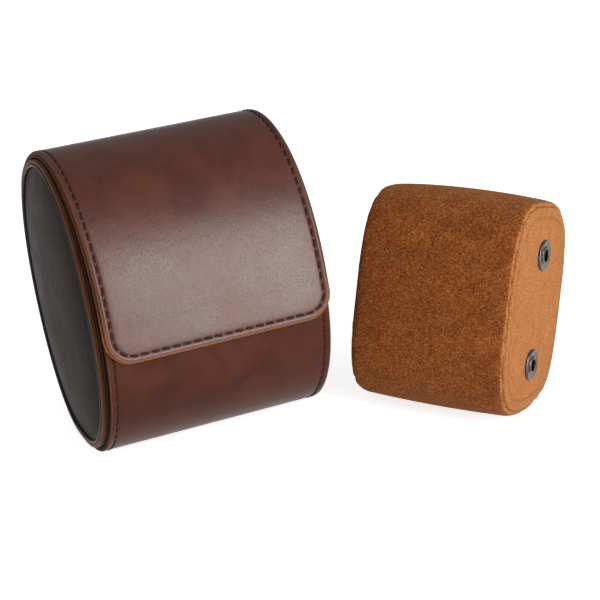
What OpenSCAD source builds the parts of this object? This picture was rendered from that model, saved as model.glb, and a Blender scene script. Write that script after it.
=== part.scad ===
// Single-watch travel case: an oval leather case with a wrap-over flap, and its loose suede pillow.
// Both pieces lean back on a strip that their own weight has pressed flat, as a soft case stands.
// Each module first draws its piece in the piece's own axes: X along the length, Y from front to
// back and Z up. The case's oval centre is the origin there. Then the piece is leant back and put
// on the floor. A "grow" is a distance out from the oval, so a layer has an outer and an inner one.

/* [Case] */
// Length of the outer leather along the case
case_l = 75.7; // [60:0.1:110]
// Depth of the oval section, front to back
case_d = 75; // [66:1:100]
// Height of the oval section
case_h = 97; // [84:1:125]
// Squareness of the oval: 2 is an ellipse
case_power = 2.14; // [2:0.01:2.6]
// Angle at which the case leans back
case_lean = 20; // [0:1:24]
// Depth of the strip pressed flat under the case
case_flat = 2; // [1:0.1:2.6]

/* [Leather and board] */
// Thickness of the outer leather round the base
wrap_t = 1.6; // [1:0.1:2.5]
// Thickness of the stiff board under it
board_t = 1.3; // [1:0.1:2]
// Thickness of the lining inside
lining_t = 0.8; // [0.4:0.1:1.2]
// Height of the front wall's top edge above the oval's centre
front_wall_z = 0; // [-10:1:10]
// Height of the flap's fold at the back above the oval's centre
fold_z = 24.3; // [16:0.1:28]
// How far the flap's sewn-in end stops short of the leather's edge
tongue_setback = 1.5; // [0.5:0.1:3]

/* [Flap] */
// Thickness of the flap's leather
flap_t = 1.3; // [1:0.1:2]
// Thickness of the flap's lining
flap_lining_t = 0.7; // [0.4:0.1:1]
// Air between the flap and the front wall
flap_gap = 0.4; // [0.3:0.1:1]
// How far in the flap's root is tucked, under the base leather's top edge
flap_tuck = 2.9; // [2.6:0.1:3.6]
// How much further the hem stands off the front wall
flap_flare = 0.9; // [0:0.1:1.2]
// Depth of the flap's lower edge below the oval's centre
flap_drop = 18.6; // [16:0.1:28]
// Radius of the flap's two front corners
flap_corner_r = 9; // [5:0.5:14]
// Air between the flap's root and the leather that it folds from
fold_gap = 0.3; // [0.2:0.1:0.6]

/* [Ends] */
// Gap between each end's binding and the outer leather at the front
end_gap_front = 3.3; // [2:0.1:5]
// The same gap at the back
end_gap_back = 4.9; // [2:0.1:6]
// How much higher the ends reach at the top, where only the flap is over them
end_rise = 1.6; // [0:0.1:1.9]
// How far each end's binding stands out past the outer leather
end_out = 1.6; // [1:0.1:3]
// Thickness of the leather binding round each end
band_t = 1.4; // [0.8:0.1:2]
// Thickness of the stiff board in each end
end_board_t = 2; // [1.5:0.1:3]
// Width of the turned rim round each end panel
rim_w = 1; // [0.8:0.1:2.5]
// Thickness of the leather over each end's padding
cover_t = 1; // [0.6:0.1:1.4]
// Rise of each padded panel from its edge to its middle
dome_rise = 2.4; // [1:0.1:4]
// Drop from the turned rim to the padded panel's edge
dome_drop = 1; // [0.8:0.1:2]

/* [Stitching] */
// Distance from one stitch to the next
stitch_pitch = 3.5; // [2.5:0.1:5]
// Length of one stitch
stitch_l = 2.4; // [1.5:0.1:2.4]
// Width of the thread
thread_w = 0.7; // [0.4:0.1:1]
// Height of the thread over the leather
thread_h = 0.4; // [0.2:0.1:0.5]
// Distance from the leather's edge to the stitches
stitch_inset = 2.3; // [1.5:0.1:4]
// Distance from the flap's lower edge to its stitches
hem_inset = 2.6; // [1.5:0.1:4]

/* [Closure] */
// Radius of the hidden magnets
magnet_r = 5; // [4:0.5:6]
// Thickness of the hidden magnets
magnet_t = 0.8; // [0.5:0.1:0.9]
// Distance of each magnet from the case's middle
magnet_x = 20; // [12:1:24]
// Height of the magnets below the oval's centre
magnet_drop = 7; // [7:0.5:12]

/* [Pillow] */
// Length of the pillow
pillow_l = 54.3; // [46:0.1:60]
// Depth of the pillow
pillow_d = 50.4; // [40:0.1:56]
// Height of the pillow
pillow_h = 71; // [60:1:80]
// Squareness of the pillow's section: 2 is an ellipse
pillow_power = 3.2; // [2.4:0.05:3.4]
// Angle at which the pillow leans back
pillow_lean = 20; // [0:1:22]
// Depth of the strip pressed flat under the pillow
pillow_flat = 2.4; // [1.5:0.1:2.8]
// Thickness of the suede
suede_t = 1.2; // [0.8:0.1:1.6]
// Thickness of the card in each end of the pillow
card_t = 1.5; // [1:0.1:2]
// Swell of the suede sleeve at mid-length
pillow_crown = 0.6; // [0:0.1:1]
// Rounding of the sleeve's two end edges
pillow_arris = 2; // [1:0.1:3]
// Place of the pillow's middle along the case
pillow_x = 85; // [84:0.1:140]
// Place of the pillow's middle in front of the case's middle
pillow_y = -39.6; // [-60:0.1:0]
// Turn of the pillow seen from above
pillow_turn = -52.8; // [-60:0.1:-45]

/* [Press studs] */
// Distance between the two studs
stud_pitch = 36; // [30:0.5:38]
// Radius of each socket's flange
flange_r = 5.1; // [4.5:0.1:5.6]
// Radius of the hole in each socket
socket_r = 2; // [1.8:0.05:2.4]
// Clearance of the stud's head in its socket
stud_clearance = 0.05; // [0.02:0.01:0.1]
// Height of the stud's head over its base
stud_h = 2.6; // [2:0.1:3.2]

/* [Hidden] */

// Colours
leather = [0.33, 0.17, 0.13];
leather_edge = [0.52, 0.30, 0.16];
dark_leather = [0.16, 0.14, 0.14];
rim_leather = [0.24, 0.22, 0.22];
thread = [0.16, 0.08, 0.06];
card = [0.55, 0.52, 0.47];
foam = [0.80, 0.78, 0.70];
suede = [0.60, 0.33, 0.14];
suede_light = [0.74, 0.47, 0.26];
inner_suede = [0.36, 0.24, 0.17];
gunmetal = [0.36, 0.35, 0.34];

turns = 96;                                   // straight steps round a whole oval
dome_turns = 48;                              // the same, for the padded panels
dome_steps = 5;                               // steps from a padded panel's edge to its middle
far = 200;                                    // longer than anything here
round_fn = 64;

case_a = case_d / 2;
case_b = case_h / 2;
half_l = case_l / 2;
board_grow = -wrap_t;                         // outer side of the base board
lining_grow = board_grow - board_t;           // outer side of the lining
cavity_grow = lining_grow - lining_t;         // inner side of the lining
end_clear = 0.1;                              // gap between the bindings and the outer leather below them
end_a = case_a - wrap_t - (end_gap_front + end_gap_back) / 2;
end_b = case_b - wrap_t + (end_rise - end_clear) / 2;
end_middle = [(end_gap_front - end_gap_back) / 2, (end_rise + end_clear) / 2];
end_grow = -band_t;                           // outer side of the end boards, inside the bindings
rim_grow = end_grow - rim_w;                  // inner side of the turned rim
end_x = half_l + end_out;                     // outer edge of the binding
rim_proud = 0.3;                              // the turned rim stands out past the binding
dome_edge_x = end_x + rim_proud - dome_drop;  // edge of the padded panel
foam_seat_t = 1.4;                            // padding under the panel's edge
foam_x = dome_edge_x - cover_t - foam_seat_t; // outer face of the end board
end_board_x = foam_x - end_board_t;
wall_x = end_board_x - lining_t;              // inner face of each end
panel_gap = 0.1;                              // slit between the rim and the padded panel

flap_inner_grow = flap_gap;                   // inner side of the flap, where it is fully out
flap_seam_grow = flap_inner_grow + flap_lining_t;
flap_outer_grow = flap_seam_grow + flap_t;

pillow_a = pillow_d / 2;
pillow_b = pillow_h / 2;
pillow_half = pillow_l / 2;
pillow_in = -suede_t;                         // inner side of the sleeve
card_x = pillow_half - suede_t;               // outer face of the card
core_x = card_x - card_t;                     // end of the foam core

// A point of a rounded section of half sizes a and b, at an angle from the back, moved out by grow
function power_of(v, e) = sign(v) * pow(abs(v), e);
function outward(t, a, b, n) =
    let (v = [power_of(cos(t), 2 - 2 / n) / a, power_of(sin(t), 2 - 2 / n) / b]) v / norm(v);
function rim_point(t, a, b, n, grow) =
    [a * power_of(cos(t), 2 / n), b * power_of(sin(t), 2 / n)] + grow * outward(t, a, b, n);

// Height of a section's point once the piece leans, and the same point lifted to a floor
function lean_height(p, lean) = p[1] * cos(lean) - p[0] * sin(lean);
function lifted(p, lean, floor_z) =
    p + max(0, floor_z - lean_height(p, lean)) * [-sin(lean), cos(lean)];
function lowest(a, b, n, lean) =
    min([for (i = [0 : 719]) lean_height(rim_point(i / 2, a, b, n, 0), lean)]);

// Height of each section's centre over the floor
case_rest = -lowest(case_a, case_b, case_power, case_lean) - case_flat;
pillow_rest = -lowest(pillow_a, pillow_b, pillow_power, pillow_lean) - pillow_flat;

// Every layer is made of the same straight steps, so a point between two steps lies on their chord
function on_chord(t, ends) = let (f = t * turns / 360 - floor(t * turns / 360))
    (1 - f) * ends[0] + f * ends[1];
function step_ends(t) = let (i = floor(t * turns / 360)) [i * 360 / turns, (i + 1) * 360 / turns];

function case_point(t, grow) = on_chord(t, [for (u = step_ends(t))
    lifted(rim_point(u, case_a, case_b, case_power, grow), case_lean, -case_rest - grow)]);
function flap_point(t, grow) = on_chord(t, [for (u = step_ends(t))
    rim_point(u, case_a, case_b, case_power, grow + flap_swell(u))]);
function end_point(t, grow) = on_chord(t, [for (u = step_ends(t))
    lifted(end_middle + rim_point(u, end_a, end_b, case_power, grow), case_lean,
           -case_rest + wrap_t + end_clear - grow)]);
function pillow_point(t, grow) =
    lifted(rim_point(t, pillow_a, pillow_b, pillow_power, grow), pillow_lean, -pillow_rest - grow);

// Angle at which the case's oval has a given height, at the back and at the front
function back_angle(z) = asin(power_of(z / case_b, case_power / 2));
function front_angle(z) = 180 - back_angle(z);

wall_angle = front_angle(front_wall_z);       // top edge of the front wall
fold_angle = 360 + back_angle(fold_z);        // top edge of the base leather at the back
root_angle = back_angle(fold_z + fold_gap);   // root of the flap
hem_angle = front_angle(-flap_drop);          // lower edge of the flap

// The flap comes out from its tucked root over the upper back, and its hem flares out a little
rise_turn = 36;                               // angle over which it comes out
flare_turn = 14;                              // angle over which it flares
function eased(f) = let (g = min(1, max(0, f))) g * g * (3 - 2 * g);
function flap_swell(t) = -flap_tuck * (1 - eased((t - root_angle) / rise_turn))
    + flap_flare * eased((t - hem_angle + flare_turn) / flare_turn);

tongue_h = 12;                                // height of the tongue sewn in under the fold
tongue_angle = 360 + back_angle(fold_z - tongue_h);
fold_y = case_point(fold_angle, 0)[0];        // the flap turns about this edge

echo(case_rest = case_rest, pillow_rest = pillow_rest, fold = [fold_y, fold_z + fold_gap / 2]);
echo(wall_x = wall_x, cavity = [case_a + cavity_grow, case_b + cavity_grow], end = end_x + rim_proud);
echo(ends = [end_a, end_b], hem = [hem_angle, flap_point(hem_angle, flap_outer_grow)]);

// Layers
function angles(t0, t1) = let (g = 360 / turns)
    concat([t0], [for (i = [floor(t0 / g) + 1 : ceil(t1 / g) - 1]) i * g], [t1]);
function backwards(list) = [for (i = [len(list) - 1 : -1 : 0]) list[i]];
function base_strip(t0, t1, outer, inner) =
    concat([for (t = angles(t0, t1)) case_point(t, outer)],
           [for (t = backwards(angles(t0, t1))) case_point(t, inner)]);
function flap_strip(outer, inner) =
    concat([for (t = angles(root_angle, hem_angle)) flap_point(t, outer)],
           [for (t = backwards(angles(root_angle, hem_angle))) flap_point(t, inner)]);

module along_x(x0, x1) {
    translate([x0, 0, 0]) rotate([90, 0, 90]) linear_extrude(x1 - x0) children();
}

module end_oval(grow) {
    polygon([for (i = [0 : turns - 1]) end_point(i * 360 / turns, grow)]);
}

module pillow_oval(grow) {
    polygon([for (i = [0 : turns - 1]) pillow_point(i * 360 / turns, grow)]);
}

// The case and the pillow in their places on the floor
module case_place() {
    translate([0, 0, case_rest]) rotate([-case_lean, 0, 0]) children();
}

module pillow_place() {
    translate([pillow_x, pillow_y, pillow_rest]) rotate([0, 0, pillow_turn])
        rotate([-pillow_lean, 0, 0]) children();
}

// Mirrors a piece drawn for the right end to the left
module to_side(side) {
    if (side < 0) mirror([1, 0, 0]) children();
    else children();
}

// Puts a child, drawn with +Z outward, on an oval at an angle
module on_case(x, t, grow) {
    p = case_point(t, grow);
    n = outward(t, case_a, case_b, case_power);
    translate([x, p[0], p[1]]) rotate([atan2(n[1], n[0]) - 90, 0, 0]) children();
}

module on_flap(x, t, grow) {
    p = flap_point(t, grow);
    along = flap_point(t + 1, grow) - flap_point(t - 1, grow);
    translate([x, p[0], p[1]]) rotate([atan2(-along[0], along[1]) - 90, 0, 0]) children();
}

// Walks along the outside of the base or the flap: pairs of the distance and the angle there
function outside(flap, t) = flap ? flap_point(t, flap_outer_grow) : case_point(t, 0);
function walk(flap, t0, t1) =
    let (n = 240, step = (t1 - t0) / n)
    [for (i = 0, s = 0; i <= n;
          s = s + norm(outside(flap, t0 + (i + 1) * step) - outside(flap, t0 + i * step)),
          i = i + 1) [s, t0 + i * step]];
base_walk = walk(false, front_angle(2 * stitch_pitch - flap_drop), fold_angle);
flap_walk = walk(true, root_angle, hem_angle);
base_run = base_walk[len(base_walk) - 1][0];
flap_run = flap_walk[len(flap_walk) - 1][0];

// One stitch, drawn along Y on top of the leather
module stitch() {
    translate([-thread_w / 2, -stitch_l / 2, 0.02]) cube([thread_w, stitch_l, thread_h]);
}

// The outer leather of the base: front wall, bottom and back in one strip
module base_wrap() {
    color(leather) case_place() along_x(-half_l, half_l) polygon(base_strip(wall_angle, fold_angle, 0, -wrap_t));
}

// The stiff board under it, from one end to the other, with a hole for each magnet
module base_board() {
    color(card) case_place() difference() {
        along_x(-wall_x, wall_x) polygon(base_strip(wall_angle, tongue_angle - 1, board_grow, lining_grow));
        for (side = [-1, 1]) on_case(side * magnet_x, front_angle(-magnet_drop), board_grow - board_t / 2)
            translate([0, 0, -board_t]) cylinder(r = magnet_r + 0.1, h = 2 * board_t, $fn = round_fn);
    }
}

module wall_magnets() {
    color(gunmetal) case_place()
        for (side = [-1, 1]) on_case(side * magnet_x, front_angle(-magnet_drop), board_grow - board_t / 2)
            translate([0, 0, -magnet_t / 2]) cylinder(r = magnet_r, h = magnet_t, $fn = round_fn);
}

module base_lining() {
    color(inner_suede) case_place() along_x(-wall_x, wall_x)
        polygon(base_strip(wall_angle, fold_angle - 1, lining_grow, cavity_grow));
}

// The end of the flap's leather that is sewn in under the base leather's top edge
module hinge_tongue() {
    tongue_half = half_l - tongue_setback;
    color(leather) case_place() along_x(-tongue_half, tongue_half)
        polygon(base_strip(tongue_angle, fold_angle - 1, board_grow, lining_grow));
}

// Stitches along both edges of the base leather, left out where it is pressed to the floor
module wrap_stitching() {
    color(thread) case_place()
        for (side = [-1, 1]) for (s = [stitch_pitch / 2 : stitch_pitch : base_run - stitch_pitch]) {
            t = lookup(s, base_walk);
            if (lean_height(rim_point(t, case_a, case_b, case_power, 0), case_lean) > -case_rest + thread_h + 1)
                on_case(side * (half_l - stitch_inset), t, 0) stitch();
        }
}

// The row of stitches that holds the tongue
module back_seam_stitching() {
    row_half = floor((half_l - 2 * stitch_inset) / stitch_pitch) * stitch_pitch;
    t = lookup(base_run - stitch_inset, base_walk);
    color(thread) case_place()
        for (x = [-row_half : stitch_pitch : row_half]) on_case(x, t, 0) rotate([0, 0, 90]) stitch();
}

// Ends
module end_band(side) {
    color(leather_edge) case_place() to_side(side) along_x(wall_x, end_x) difference() {
        end_oval(0);
        end_oval(end_grow);
    }
}

module stud_holes(r) {
    for (k = [-1, 1]) translate([end_board_x - 2, 0, k * stud_pitch / 2]) rotate([0, 90, 0])
        cylinder(r = r, h = end_board_t + 4, $fn = round_fn);
}

shank_r = 1.2;
cap_r = 4;
cap_t = 0.6;

module end_board(side) {
    color(card) case_place() to_side(side) difference() {
        along_x(end_board_x, foam_x) end_oval(end_grow);
        if (side > 0) stud_holes(shank_r);
    }
}

module end_lining(side) {
    color(inner_suede) case_place() to_side(side) difference() {
        along_x(wall_x, end_board_x) end_oval(end_grow);
        if (side > 0) stud_holes(shank_r);
    }
}

module end_rim(side) {
    color(rim_leather) case_place() to_side(side) along_x(foam_x, end_x + rim_proud) difference() {
        end_oval(end_grow);
        end_oval(rim_grow);
    }
}

// A padded disc: an upright edge and a dome over it. Rings run from the back face to the middle
module domed_disc(grow, back_x, edge_x) {
    function ring_x(j) = edge_x + dome_rise * (1 - pow(1 - (j - 1) / dome_steps, 2));
    function ring_scale(j) = 1 - (j - 1) / dome_steps;
    outline = [for (i = [0 : dome_turns - 1]) end_point(i * 360 / dome_turns, grow)];
    rings = dome_steps + 1;
    points = concat(
        [for (p = outline) [back_x, p[0], p[1]]],
        [for (j = [1 : dome_steps]) for (p = outline)
            let (q = end_middle + ring_scale(j) * (p - end_middle)) [ring_x(j), q[0], q[1]]],
        [[edge_x + dome_rise, end_middle[0], end_middle[1]]]);
    top = rings * dome_turns;
    faces = concat(
        [[for (i = [0 : dome_turns - 1]) i]],
        [for (j = [0 : rings - 2]) for (i = [0 : dome_turns - 1])
            let (k = (i + 1) % dome_turns, a = j * dome_turns, b = a + dome_turns) [a + i, b + i, b + k]],
        [for (j = [0 : rings - 2]) for (i = [0 : dome_turns - 1])
            let (k = (i + 1) % dome_turns, a = j * dome_turns, b = a + dome_turns) [a + i, b + k, a + k]],
        [for (i = [0 : dome_turns - 1])
            let (a = (rings - 1) * dome_turns) [a + i, top, a + (i + 1) % dome_turns]]);
    polyhedron(points, faces, convexity = 4);
}

module end_foam(side) {
    color(foam) case_place() to_side(side) difference() {
        domed_disc(rim_grow - panel_gap - cover_t, foam_x, dome_edge_x - cover_t);
        if (side > 0) for (k = [-1, 1]) translate([foam_x - 1, 0, k * stud_pitch / 2]) rotate([0, 90, 0])
            cylinder(r = cap_r, h = cap_t + 1, $fn = 32);
    }
}

module end_cover(side) {
    color(dark_leather) case_place() to_side(side) difference() {
        domed_disc(rim_grow - panel_gap, foam_x, dome_edge_x);
        domed_disc(rim_grow - panel_gap - cover_t, foam_x - 1, dome_edge_x - cover_t);
    }
}

// The two studs on the right end's inner face, which the pillow's sockets press on to
module stud(k) {
    head_r = socket_r - stud_clearance;
    neck_r = head_r - 0.35;
    lip_h = 0.45;
    base_t = 0.6;
    color(gunmetal) case_place() translate([wall_x, 0, k * stud_pitch / 2]) rotate([0, -90, 0]) union() {
        translate([0, 0, wall_x - foam_x]) cylinder(r = shank_r, h = foam_x - wall_x + 0.3, $fn = round_fn);
        cylinder(r = flange_r - 0.6, h = base_t, $fn = round_fn);
        cylinder(r = neck_r, h = stud_h - 3 * lip_h, $fn = round_fn);
        translate([0, 0, stud_h - 3 * lip_h]) cylinder(r1 = neck_r, r2 = head_r, h = lip_h, $fn = round_fn);
        translate([0, 0, stud_h - 2 * lip_h]) cylinder(r = head_r, h = lip_h, $fn = round_fn);
        translate([0, 0, stud_h - lip_h]) cylinder(r1 = head_r, r2 = neck_r, h = lip_h, $fn = round_fn);
    }
}

module stud_caps() {
    color(gunmetal) case_place() for (k = [-1, 1]) translate([foam_x, 0, k * stud_pitch / 2])
        rotate([0, 90, 0]) cylinder(r = cap_r - 0.1, h = cap_t - 0.1, $fn = round_fn);
}

// Flap
module flap_corner_cuts() {
    hem_z = flap_point(hem_angle, 0)[1];
    for (side = [-1, 1]) translate([side * half_l, 0, hem_z]) mirror([side > 0 ? 1 : 0, 0, 0]) difference() {
        translate([-1, -far, -10]) cube([flap_corner_r + 1, far, flap_corner_r + 10]);
        translate([flap_corner_r, 1, flap_corner_r]) rotate([90, 0, 0])
            cylinder(r = flap_corner_r, h = far + 2, $fn = 96);
    }
}

module flap_layer(outer, inner) {
    difference() {
        along_x(-half_l, half_l) polygon(flap_strip(outer, inner));
        flap_corner_cuts();
    }
}

module flap_leather() {
    color(leather) case_place() difference() {
        flap_layer(flap_outer_grow, flap_seam_grow);
        for (side = [-1, 1]) on_flap(side * magnet_x, front_angle(-magnet_drop), flap_seam_grow)
            translate([0, 0, -1]) cylinder(r = magnet_r + 0.1, h = magnet_t + 1.1, $fn = round_fn);
    }
}

module flap_lining() {
    color(leather_edge) case_place() flap_layer(flap_seam_grow, flap_inner_grow);
}

module flap_magnets() {
    color(gunmetal) case_place()
        for (side = [-1, 1]) on_flap(side * magnet_x, front_angle(-magnet_drop), flap_seam_grow)
            translate([0, 0, 0.05]) cylinder(r = magnet_r, h = magnet_t, $fn = round_fn);
}

// The flap's stitches run down one side, round the corner, along the hem and up the other side.
// Half of that path, from the hem's middle: place across, distance up from the hem and direction
corner_path_r = flap_corner_r - (stitch_inset + hem_inset) / 2;
hem_half = half_l - stitch_inset - corner_path_r;
corner_run = corner_path_r * PI / 2;
function path_at(d) =
    d < hem_half ? [d, hem_inset, 90] :
    d < hem_half + corner_run ?
        let (a = (d - hem_half) / corner_path_r * 180 / PI)
        [hem_half + corner_path_r * sin(a), hem_inset + corner_path_r * (1 - cos(a)), 90 - a] :
    [half_l - stitch_inset, hem_inset + corner_path_r + d - hem_half - corner_run, 0];
side_run = flap_run - hem_inset - corner_path_r - stitch_inset;

module flap_stitching() {
    color(thread) case_place()
        for (side = [-1, 1]) for (d = [stitch_pitch / 2 : stitch_pitch : hem_half + corner_run + side_run]) {
            p = path_at(d);
            on_flap(side * p[0], lookup(flap_run - p[1], flap_walk), flap_outer_grow)
                rotate([0, 0, side * p[2]]) stitch();
        }
}

// Pillow
// The sleeve swells a little at mid-length and is drawn in round its two end edges
module sleeve_outside() {
    steps = [for (q = [0 : 30 : 90]) [pillow_half - pillow_arris * (1 - cos(90 - q)),
                                     -pillow_arris * (1 - sin(q))]];
    swell = [for (f = [0.75, 0.35]) [f * (pillow_half - pillow_arris), pillow_crown * (1 - f * f)]];
    half = concat(steps, swell);
    stations = concat([for (s = half) [-s[0], s[1]]], backwards(half));
    n = len(stations);
    m = 64;
    points = [for (s = stations) for (i = [0 : m - 1])
        let (p = pillow_point(i * 360 / m, s[1])) [s[0], p[0], p[1]]];
    faces = concat(
        [[for (i = [m - 1 : -1 : 0]) i]],
        [for (j = [0 : n - 2]) for (i = [0 : m - 1])
            let (k = (i + 1) % m, a = j * m, b = a + m) [a + i, a + k, b + k]],
        [for (j = [0 : n - 2]) for (i = [0 : m - 1])
            let (k = (i + 1) % m, a = j * m, b = a + m) [a + i, b + k, b + i]],
        [[for (i = [0 : m - 1]) (n - 1) * m + i]]);
    polyhedron(points, faces, convexity = 4);
}

module pillow_cover() {
    color(suede) pillow_place() difference() {
        sleeve_outside();
        along_x(-far, far) pillow_oval(pillow_in - pillow_arris / 2);
    }
}

module pillow_core() {
    color(foam) pillow_place() difference() {
        along_x(-core_x, core_x) pillow_oval(pillow_in - pillow_arris / 2);
        eyelet_shapes(0.1);
    }
}

module pillow_card(side) {
    color(card) pillow_place() to_side(side) difference() {
        along_x(core_x, card_x) pillow_oval(pillow_in - pillow_arris / 2);
        if (side > 0) socket_holes();
    }
}

module pillow_end(side) {
    color(suede_light) pillow_place() to_side(side) difference() {
        along_x(card_x, pillow_half) pillow_oval(pillow_in - pillow_arris / 2);
        if (side > 0) socket_holes();
    }
}

// Each socket: a dished flange with a rolled rim, on an eyelet that passes through suede and card
eyelet_r = 2.7;
eyelet_flange_r = 4;
eyelet_flange_t = 0.5;

module socket_holes() {
    for (k = [-1, 1]) translate([core_x - 1, 0, k * stud_pitch / 2]) rotate([0, 90, 0])
        cylinder(r = eyelet_r, h = card_t + suede_t + 2, $fn = round_fn);
}

module socket(k) {
    rim_minor = 0.45;
    disc_t = 0.7;
    boss_t = 1.2;
    color(gunmetal) pillow_place() translate([pillow_half, 0, k * stud_pitch / 2]) rotate([0, 90, 0])
        difference() {
            union() {
                cylinder(r = flange_r - rim_minor, h = disc_t, $fn = round_fn);
                cylinder(r = socket_r + 0.9, h = boss_t, $fn = round_fn);
                translate([0, 0, rim_minor]) rotate_extrude($fn = round_fn)
                    translate([flange_r - rim_minor, 0]) circle(r = rim_minor, $fn = 24);
            }
            translate([0, 0, -1]) cylinder(r = socket_r, h = boss_t + 2, $fn = round_fn);
        }
}

// Solid shapes of the two eyelets, made larger all round by a clearance
module eyelet_shapes(clearance) {
    for (k = [-1, 1]) translate([core_x - eyelet_flange_t - clearance, 0, k * stud_pitch / 2]) rotate([0, 90, 0])
        cylinder(r = eyelet_flange_r + clearance, h = eyelet_flange_t + clearance, $fn = round_fn);
}

module socket_eyelets() {
    color(gunmetal) pillow_place() difference() {
        union() {
            eyelet_shapes(0);
            for (k = [-1, 1]) translate([core_x - 0.2, 0, k * stud_pitch / 2]) rotate([0, 90, 0])
                cylinder(r = eyelet_r, h = card_t + suede_t + 0.2, $fn = round_fn);
        }
        for (k = [-1, 1]) translate([core_x, 0, k * stud_pitch / 2]) rotate([0, 90, 0])
            cylinder(r = socket_r + 0.1, h = card_t + suede_t + 1, $fn = round_fn);
    }
}

base_wrap();
base_board();
base_lining();
hinge_tongue();
wall_magnets();
wrap_stitching();
back_seam_stitching();
end_band(-1);  // end_band_left
end_band(1);  // end_band_right
end_board(-1);  // end_board_left
end_board(1);  // end_board_right
end_foam(-1);  // end_foam_left
end_foam(1);  // end_foam_right
end_cover(-1);  // end_cover_left
end_cover(1);  // end_cover_right
end_rim(-1);  // end_rim_left
end_rim(1);  // end_rim_right
end_lining(-1);  // end_lining_left
end_lining(1);  // end_lining_right
stud(1);  // stud_upper
stud(-1);  // stud_lower
stud_caps();
flap_leather();
flap_lining();
flap_magnets();
flap_stitching();
pillow_core();
pillow_cover();
pillow_end(-1);  // pillow_end_left
pillow_end(1);  // pillow_end_right
pillow_card(-1);  // pillow_card_left
pillow_card(1);  // pillow_card_right
socket(1);  // socket_upper
socket(-1);  // socket_lower
socket_eyelets();
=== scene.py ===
"""Watch travel case in brown leather with its suede pillow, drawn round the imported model.

Leather is made flat first, as it is cut, with X along the case, Y round its oval and Z out of the face,
all in mm. Then it is wrapped round the oval, leant back and stood on the floor, in metres.
"""

import math
import random

import bmesh
import bpy
import numpy as np
from mathutils import Matrix, Vector


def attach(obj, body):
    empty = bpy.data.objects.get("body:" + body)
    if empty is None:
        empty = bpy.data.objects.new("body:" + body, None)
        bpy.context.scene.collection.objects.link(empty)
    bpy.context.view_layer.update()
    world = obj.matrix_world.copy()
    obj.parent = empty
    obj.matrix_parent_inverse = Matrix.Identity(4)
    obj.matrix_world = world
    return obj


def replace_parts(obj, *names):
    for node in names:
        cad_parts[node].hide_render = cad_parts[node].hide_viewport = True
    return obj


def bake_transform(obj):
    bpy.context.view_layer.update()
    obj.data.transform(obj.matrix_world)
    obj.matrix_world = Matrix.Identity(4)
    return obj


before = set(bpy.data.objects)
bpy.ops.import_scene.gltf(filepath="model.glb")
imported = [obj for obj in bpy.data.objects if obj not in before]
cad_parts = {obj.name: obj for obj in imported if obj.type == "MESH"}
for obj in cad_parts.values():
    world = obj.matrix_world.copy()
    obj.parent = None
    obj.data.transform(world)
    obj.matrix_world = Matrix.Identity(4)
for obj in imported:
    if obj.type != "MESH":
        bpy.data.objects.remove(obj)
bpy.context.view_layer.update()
random.seed(7)

# ---------------------------------------------------------------- sizes of the frame's pieces, in mm
MM = 0.001
CASE_HALF = 37.85
WRAP_T, BOARD_T, LINING_T = 1.6, 1.3, 0.8
FOLD_Z, FOLD_GAP, TONGUE_SETBACK, TONGUE_H = 24.3, 0.3, 1.5, 12.0
FLAP_T, FLAP_LINING_T, FLAP_GAP = 1.3, 0.7, 0.4
FLAP_TUCK, FLAP_FLARE, RISE_TURN, FLARE_TURN = 2.9, 0.9, math.radians(36), math.radians(14)
FLAP_DROP, FLAP_CORNER = 18.6, 9.0
END_OUT, BAND_T, RIM_W, RIM_PROUD = 1.6, 1.4, 1.0, 0.3
END_FRONT, END_BACK, END_RISE, END_CLEAR = 3.3, 4.9, 1.6, 0.1
COVER_T, DOME_RISE, DOME_DROP, FOAM_SEAT = 1.0, 2.4, 1.0, 1.4
END_BOARD_T = 2.0
STITCH_PITCH, STITCH_L, THREAD_W, SEAM_INSET, HEM_INSET = 3.5, 2.3, 0.78, 2.3, 2.6
PILLOW_HALF, SUEDE_T = 27.15, 1.2
PILLOW_ARRIS, PILLOW_CROWN, PILLOW_TURN = 2.0, 0.6, math.radians(-52.8)
PILLOW_SPOT = (85.0, -39.6)
STUD_PITCH = 36.0

LINING_GROW = -WRAP_T - BOARD_T
RIM_GROW = -BAND_T - RIM_W
END_X = CASE_HALF + END_OUT
DOME_EDGE_X = END_X + RIM_PROUD - DOME_DROP
FOAM_X = DOME_EDGE_X - COVER_T - FOAM_SEAT
WALL_X = FOAM_X - END_BOARD_T - LINING_T
FLAP_OUTER = FLAP_GAP + FLAP_LINING_T + FLAP_T

# The name of each end, and whether it is made by mirroring
SIDES = (("left", True), ("right", False))

# Sizes of what is only drawn here: raw lip, end pocket, socket's hole, lathe radius, and hide by a seam
LIP, POCKET_DEEP, BORE_R, LATHE_R = 0.45, 5.0, 2.6, 40.0
BEAD_OFF, BEAD_W, GROOVE_W, DIP_W, STITCH_SUNK = 1.15, 0.55, 0.42, 1.3, -0.12

# A panel's sewn border and a suede end's crease, as shares of the way in, and the sleeve's cloth
BORDER, CREASE = 0.04, 0.1
VOXEL, PRESSURE, CLOTH_SCALE, CLOTH_STEPS, SWELL_CAP = 1.3, 4.0, 8.0, 20, 0.9


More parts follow.
